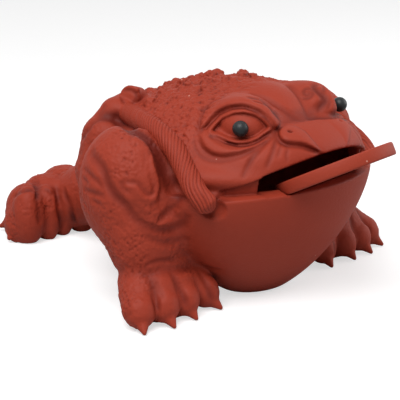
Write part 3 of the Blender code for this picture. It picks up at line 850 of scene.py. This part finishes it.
def roughened(verts, normals):
    """Torn bumps and pits on the back, a weaker grain on the limbs."""
    rough = back_share(verts)
    limbs = np.maximum(limb_share(verts) * (1 - rough), smooth_share(verts[:, 1], *REAR_START))
    lumps = 1 - np.clip(cell_noise(verts, LUMP_SIZE, 3) * 1.35, 0, 1)
    coarse, thin = (np.abs(value_noise(verts, TEAR_SIZES[i], 5 + i) - 0.5) for i in range(2))
    torn = coarse + 0.6 * thin
    pits = smooth_share(0.5 - cell_noise(verts, PIT_SIZE, 7), 0, 0.4)
    pits = pits * smooth_share(value_noise(verts, PIT_PATCH_SIZE, 12), 0.3, 0.6)
    coarse, thin = (value_noise(verts, GRAIN_SIZES[i], 8 + i) - 0.5 for i in range(2))
    grain = coarse + 0.8 * thin
    patch = smooth_share(value_noise(verts, GRAIN_PATCH_SIZE, 13), 0.35, 0.65)
    height = rough * (LUMP_HEIGHT * lumps - TEAR_DEPTH * torn - PIT_DEPTHS[0] * pits + BACK_LIFT)
    height += limbs * (0.3 + 0.5 * patch) * grain * GRAIN_HEIGHT - PIT_DEPTHS[1] * limbs * patch * pits
    return verts + normals * height[:, None]


def add_warts(clay):
    """The warts that the photograph shows, and others like them over the rest of the back."""
    for radius, pixel in BACK_WARTS:
        for place in clay.cast([pixel]):
            clay.ball(place, (radius,) * 3, blend=0.8)
            clay.ball(mirrored(place), (radius,) * 3, blend=0.8)
    draws = np.random.default_rng(11)
    for number in range(WARTS):
        turn, reach = number * WART_TURN, WART_SPREAD * math.sqrt((number + 0.5) / WARTS)
        spot = WART_MIDDLE + (reach * math.cos(turn), reach * math.sin(turn))
        spot += draws.uniform(-2, 2, 2)
        if back_share(np.array([(*spot, TORSO[0][2] + TORSO[1][2])]))[0] < 0.5:
            continue
        heights = np.arange(*WART_SEARCH)
        column = np.column_stack((np.full_like(heights, spot[0]), np.full_like(heights, spot[1]), heights))
        found = clay.at(column) < 0
        if found.any():
            radius = draws.uniform(*WART_RADII)
            top = column[np.argmax(found)]
            top[2] = min(top[2], WART_TOP - radius)
            clay.ball(top, (radius, radius, radius * 0.9), blend=0.8)


def pressed(clay, lines, both=True):
    """Presses lines of the photograph into the clay, with their mirror images unless both is off."""
    cast = [(width, depth, smooth_path(clay.cast(pixels))) for width, depth, pixels in lines]
    for width, depth, path in cast:
        clay.line(path, width, depth)
        if both:
            clay.line(mirrored(path), width, depth)


def crevice_shade_mask(clay, places, normals):
    """Painted shade: from 0 in the open to 1 deep in a groove, pit or pressed line, read from the field
    near the skin.
    """
    study = places / MM - SHIFT
    wide = 1 - clay.at(study + normals * GROOVE_REACH) / GROOVE_REACH
    sunk = -clay.at(study) / PIT_DEPTH
    line = clay.at(study, marks=True) / LINE_DEPTH
    total = sum(weight * np.clip(part, 0, 1) for weight, part in zip(CREVICE_SHADE_WEIGHTS, (wide, sunk, line)))
    return np.clip(total, 0, 1)


def split_skin(clay, mesh, material):
    """The skin in pieces that share their border's points and normals, so that no seam shows."""
    centres = fetched(mesh.polygons, "center", 3)
    corners = fetched(mesh.loops, "vertex_index", 1, np.int32).reshape(-1, 3)
    normals = fetched(mesh.vertex_normals, "vector", 3)
    places = fetched(mesh.vertices, "co", 3)
    # painted shade: how deep each point lies in a groove, pit or line, kept on the skin to darken its
    # colour there
    depth = crevice_shade_mask(clay, places, normals).astype(np.float32)
    order = np.argsort(centres[:, 1], kind="stable")
    shares = np.array_split(order, math.ceil(len(centres) / PIECE_TRIANGLES))
    for name, share in zip(("body_front", "body_middle", "body_rear"), shares):
        used, local = np.unique(corners[share], return_inverse=True)
        part = mesh_of(name, places[used], local.reshape(-1, 3))
        part.normals_split_custom_set_from_vertices(normals[used].tolist())
        part.attributes.new("crevice_shade", "FLOAT", "POINT").data.foreach_set("value", depth[used])
        new_piece(name, part, "clay", material, "frog_body")


def build_body(material):
    """Sculpts the clay, takes its skin, roughens and thins it and splits it into pieces."""
    clay = Clay()
    sculpt_masses(clay)
    pressed(clay, SHOULDER_RIDGES)
    pressed(clay, SHOULDER_LINES + HAUNCH_LINES + ROPE_GAPS)
    sculpt_scrolls(clay)
    pressed(clay, REAR_LINES, both=False)
    sculpt_feet(clay)
    pressed(clay, FOOT_LINES)
    sculpt_face(clay)
    pressed(clay, FACE_LINES + FAR_BROW_LINES)
    pressed(clay, SNOUT_LINES, both=False)
    sculpt_eyes(clay)
    add_warts(clay)
    sculpt_mouth(clay)
    place, (x, y, z) = clay.window(LOW, (HIGH[0], HIGH[1], GROUND_TOP))
    clay.cut(place, z + 0 * x + 0 * y, blend=0.4)
    verts, quads = surface(clay)
    verts = relaxed(verts, quads, RELAX_ROUNDS)
    mesh = mesh_of("skin", to_cad(verts), quads)
    verts = roughened(verts, fetched(mesh.vertex_normals, "vector", 3))
    low, high = (np.array(corner) / MM - SHIFT for corner in cad_box)
    verts = np.clip(verts, low, high)
    mesh.vertices.foreach_set("co", to_cad(verts).astype(np.float32).ravel())
    mesh.update()
    holder = bpy.data.objects.new("holder", mesh)
    bpy.context.scene.collection.objects.link(holder)
    thin = holder.modifiers.new("thin", "DECIMATE")
    thin.ratio = min(1.0, SKIN_TRIANGLES / (2 * len(quads)))
    thin.use_collapse_triangulate = True
    graph = bpy.context.evaluated_depsgraph_get()
    thinned = bpy.data.meshes.new_from_object(holder.evaluated_get(graph))
    bpy.data.objects.remove(holder, do_unlink=True)
    bpy.data.meshes.remove(mesh)
    split_skin(clay, thinned, material)
    bpy.data.meshes.remove(thinned)


def new_material(name, **inputs):
    """A material and its shader; underscores in an input's name stand for spaces."""
    material = bpy.data.materials.new(name)
    material.use_nodes = True
    shader = material.node_tree.nodes["Principled BSDF"]
    for socket, value in inputs.items():
        shader.inputs[socket.replace("_", " ")].default_value = value
    return material, shader


def noise_node(material, where, scale, detail):
    noise = material.node_tree.nodes.new("ShaderNodeTexNoise")
    noise.inputs["Scale"].default_value = scale
    noise.inputs["Detail"].default_value = detail
    material.node_tree.links.new(where.outputs["Object"], noise.inputs["Vector"])
    return noise


def mixed(material, factor, first, second):
    """Two colours mixed by a socket's value; each colour is a socket or three numbers."""
    mix = material.node_tree.nodes.new("ShaderNodeMix")
    mix.data_type = "RGBA"
    material.node_tree.links.new(factor, mix.inputs["Factor"])
    for name, colour in (("A", first), ("B", second)):
        if isinstance(colour, tuple):
            mix.inputs[name].default_value = (*colour, 1)
        else:
            material.node_tree.links.new(colour, mix.inputs[name])
    return mix.outputs["Result"]


def ranged(owner, value, low, high, start=0.0, end=1.0):
    """A socket's value moved from one range to another, in the nodes of a material or the world."""
    level = owner.node_tree.nodes.new("ShaderNodeMapRange")
    for name, number in (("From Min", low), ("From Max", high), ("To Min", start), ("To Max", end)):
        level.inputs[name].default_value = number
    owner.node_tree.links.new(value, level.inputs["Value"])
    return level.outputs["Result"]


def added(owner, first, second):
    """The sum of two sockets, at most 1."""
    both = owner.node_tree.nodes.new("ShaderNodeMath")
    both.operation = "ADD"
    both.use_clamp = True
    owner.node_tree.links.new(first, both.inputs[0])
    owner.node_tree.links.new(second, both.inputs[1])
    return both.outputs[0]


def clay_material(name, colour, dark):
    """Fired clay: mottled, with painted shade darkening its creases, pits and lines, a fine grain and a few
    pale specks.
    """
    material, shader = new_material(name, Roughness=0.6, Specular_IOR_Level=0.2)
    nodes, links = material.node_tree.nodes, material.node_tree.links
    where = nodes.new("ShaderNodeTexCoord")
    tone = noise_node(material, where, scale=45, detail=6)
    look = mixed(material, tone.outputs["Fac"], dark, colour)
    # painted shade: the colour goes dark red where the skin lies deep in a groove, pit or line
    depth = nodes.new("ShaderNodeAttribute")
    depth.attribute_name = "crevice_shade"
    sunk = ranged(material, depth.outputs["Fac"], 0.12, 1.0, end=0.85)
    look = mixed(material, sunk, look, CREVICE_SHADE_COLOUR)
    specks = nodes.new("ShaderNodeTexVoronoi")
    specks.inputs["Scale"].default_value = 75
    links.new(where.outputs["Object"], specks.inputs["Vector"])
    pale = ranged(material, specks.outputs["Distance"], 0.035, 0.02)
    look = mixed(material, pale, look, SPECK_COLOUR)
    links.new(look, shader.inputs["Base Color"])
    grain = noise_node(material, where, scale=900, detail=4)
    bump = nodes.new("ShaderNodeBump")
    bump.inputs["Strength"].default_value = 0.35
    bump.inputs["Distance"].default_value = 0.0004
    links.new(grain.outputs["Fac"], bump.inputs["Height"])
    links.new(bump.outputs["Normal"], shader.inputs["Normal"])
    return material


def build_rope(side, material):
    """A twisted rope of fine strands over one shoulder."""
    path = smooth_path(np.array(ROPE_POINTS, float) * (side, 1, 1), ROPE_STEP)
    along = np.gradient(path, axis=0)
    along /= np.linalg.norm(along, axis=1)[:, None]
    length = np.concatenate(([0], np.cumsum(np.linalg.norm(np.diff(path, axis=0), axis=1))))
    across = np.cross(along, (0, 0, 1))
    across /= np.linalg.norm(across, axis=1)[:, None]
    lift = np.cross(across, along)
    ring = ROPE_RING
    lean = np.radians(np.interp(length / length[-1], (0, 1), STRAND_LEAN))
    twist = np.concatenate(([0], np.cumsum(np.tan(lean[1:]) * np.diff(length)))) / ROPE_RADIUS
    turn = np.arange(ring) / ring * 2 * np.pi
    phase = STRANDS * (turn[None, :] - side * twist[:, None])
    spots = np.stack((np.cos(phase / STRANDS) * 3, np.sin(phase / STRANDS) * 3,
                      np.broadcast_to(length[:, None] / 6, phase.shape)), axis=-1).reshape(-1, 3)
    wander = value_noise(spots + 20, 0.8, 21).reshape(phase.shape)
    groove = np.abs(np.sin(phase / 2 + 1.2 * wander)) ** 0.6
    radius = ROPE_RADIUS - STRAND_DEPTH + STRAND_DEPTH * groove * (0.7 + 0.5 * wander)
    ends = np.sqrt(np.clip(np.minimum(length, length[-1] - length) / ROPE_END_ROUND, 0.02, 1))
    radius = radius * ends[:, None]
    verts = path[:, None, :] + radius[..., None] * (
        np.cos(turn)[None, :, None] * across[:, None, :] + np.sin(turn)[None, :, None] * lift[:, None, :])
    row, column = np.meshgrid(np.arange(len(path) - 1), np.arange(ring), indexing="ij")
    after = (column + 1) % ring
    quads = np.stack((row * ring + column, row * ring + after, (row + 1) * ring + after,
                      (row + 1) * ring + column), axis=-1).reshape(-1, 4)
    mesh = mesh_of("rope", to_cad(verts.reshape(-1, 3)), quads if side > 0 else quads[:, ::-1])
    # painted shade: darker deep in the grooves between the strands
    shade = (0.8 * (1 - groove)).astype(np.float32).ravel()
    mesh.attributes.new("crevice_shade", "FLOAT", "POINT").data.foreach_set("value", shade)
    new_piece("rope_left" if side > 0 else "rope_right", mesh, "clay", material)


def build_coin(material):
    """A disc with a low rim on both faces, turned from half of its section."""
    radius, half = COIN_DIAMETER / 2, COIN_THICKNESS / 2
    field, rim = half - COIN_RIM_HEIGHT, radius - COIN_RIM_WIDTH
    profile = [(0, field), (rim, field), (rim + 0.5, half - COIN_RIM_HEIGHT / 2), (rim + 1, half),
               (radius - 0.7, half), (radius - 0.2, half - 0.25), (radius, half - 0.8)]
    profile += [(x, -z) for x, z in reversed(profile)]
    form = bmesh.new()
    verts = [form.verts.new((x * MM, 0, z * MM)) for x, z in profile]
    edges = [form.edges.new(pair) for pair in zip(verts, verts[1:])]
    bmesh.ops.spin(form, geom=verts + edges, axis=(0, 0, 1), cent=(0, 0, 0), steps=COIN_STEPS,
                   angle=2 * math.pi, use_merge=True)
    bmesh.ops.remove_doubles(form, verts=form.verts, dist=1e-6)
    bmesh.ops.recalc_face_normals(form, faces=form.faces)
    turn = Matrix(coin_matrix().tolist()).to_4x4()
    form.transform(Matrix.Translation(to_cad(COIN_CENTRE).tolist()) @ turn)
    mesh = mesh_from(form, "coin_disc")
    mesh.shade_smooth()
    new_piece("coin_disc", mesh, "coin_clay", material, "coin")


def build_bead(side, material):
    form = bmesh.new()
    bmesh.ops.create_icosphere(form, subdivisions=5, radius=BEAD_RADIUS * MM)
    form.transform(Matrix.Translation(to_cad(STUDY_BEAD * (-side, 1, 1)).tolist()))
    mesh = mesh_from(form, "bead")
    mesh.shade_smooth()
    name = "left" if side > 0 else "right"
    new_piece(f"bead_{name}", mesh, "bead", material, f"eye_bead_{name}")


def area_light(name, place, power, size):
    lamp = bpy.data.lights.new(name, "AREA")
    lamp.energy = power
    lamp.size = size
    thing = bpy.data.objects.new(name, lamp)
    bpy.context.scene.collection.objects.link(thing)
    thing.location = place
    thing.rotation_euler = (Vector(LIGHT_AIM) - Vector(place)).to_track_quat("-Z", "Y").to_euler()


def build_stage():
    """A white surround that lights the object only softly, a pale floor and two lamps."""
    scene = bpy.context.scene
    scene.view_settings.view_transform = "Standard"
    world = bpy.data.worlds.new("studio")
    scene.world = world
    world.use_nodes = True
    seen = world.node_tree.nodes.new("ShaderNodeLightPath").outputs
    white = added(world, seen["Is Camera Ray"], seen["Is Glossy Ray"])
    white = added(world, white, seen["Is Transmission Ray"])
    back = world.node_tree.nodes["Background"]
    back.inputs["Color"].default_value = (1, 1, 1, 1)
    world.node_tree.links.new(ranged(world, white, 0, 1, start=WORLD_LIGHT), back.inputs["Strength"])

    form = bmesh.new()
    bmesh.ops.create_grid(form, x_segments=1, y_segments=1, size=FLOOR_SIZE)
    floor = bpy.data.objects.new("floor", mesh_from(form, "floor"))
    scene.collection.objects.link(floor)
    grey = (FLOOR_GREY, FLOOR_GREY, FLOOR_GREY, 1)
    material, shader = new_material("floor", Base_Color=grey, Roughness=0.9, Emission_Color=(1, 1, 1, 1))
    seen = material.node_tree.nodes.new("ShaderNodeLightPath").outputs
    glow = ranged(material, seen["Is Camera Ray"], 0, 1, end=FLOOR_GLOW)
    material.node_tree.links.new(glow, shader.inputs["Emission Strength"])
    floor.data.materials.append(material)

    area_light("key", *KEY_LIGHT)
    area_light("fill", *FILL_LIGHT)


def build_camera():
    data = bpy.data.cameras.new("camera")
    data.sensor_width = SENSOR
    data.lens = FOCAL_PIXELS / PHOTO * SENSOR
    data.clip_start = 0.01
    camera = bpy.data.objects.new("camera", data)
    bpy.context.scene.collection.objects.link(camera)
    turn = Matrix(np.array((RIGHT, UP, BACK)).T.tolist()).to_4x4()
    camera.matrix_world = Matrix.Translation(to_cad(LENS_PLACE).tolist()) @ turn
    bpy.context.scene.camera = camera


clay_look = clay_material("clay", CLAY_COLOUR, CLAY_DARK)
coin_look = clay_material("coin_clay", COIN_COLOUR, COIN_DARK)
bead_look = new_material("bead", Base_Color=(*BEAD_COLOUR, 1), Roughness=0.42, Specular_IOR_Level=0.3)[0]
build_body(clay_look)
for side in (-1, 1):
    build_rope(side, clay_look)
    build_bead(side, bead_look)
build_coin(coin_look)
build_stage()
build_camera()
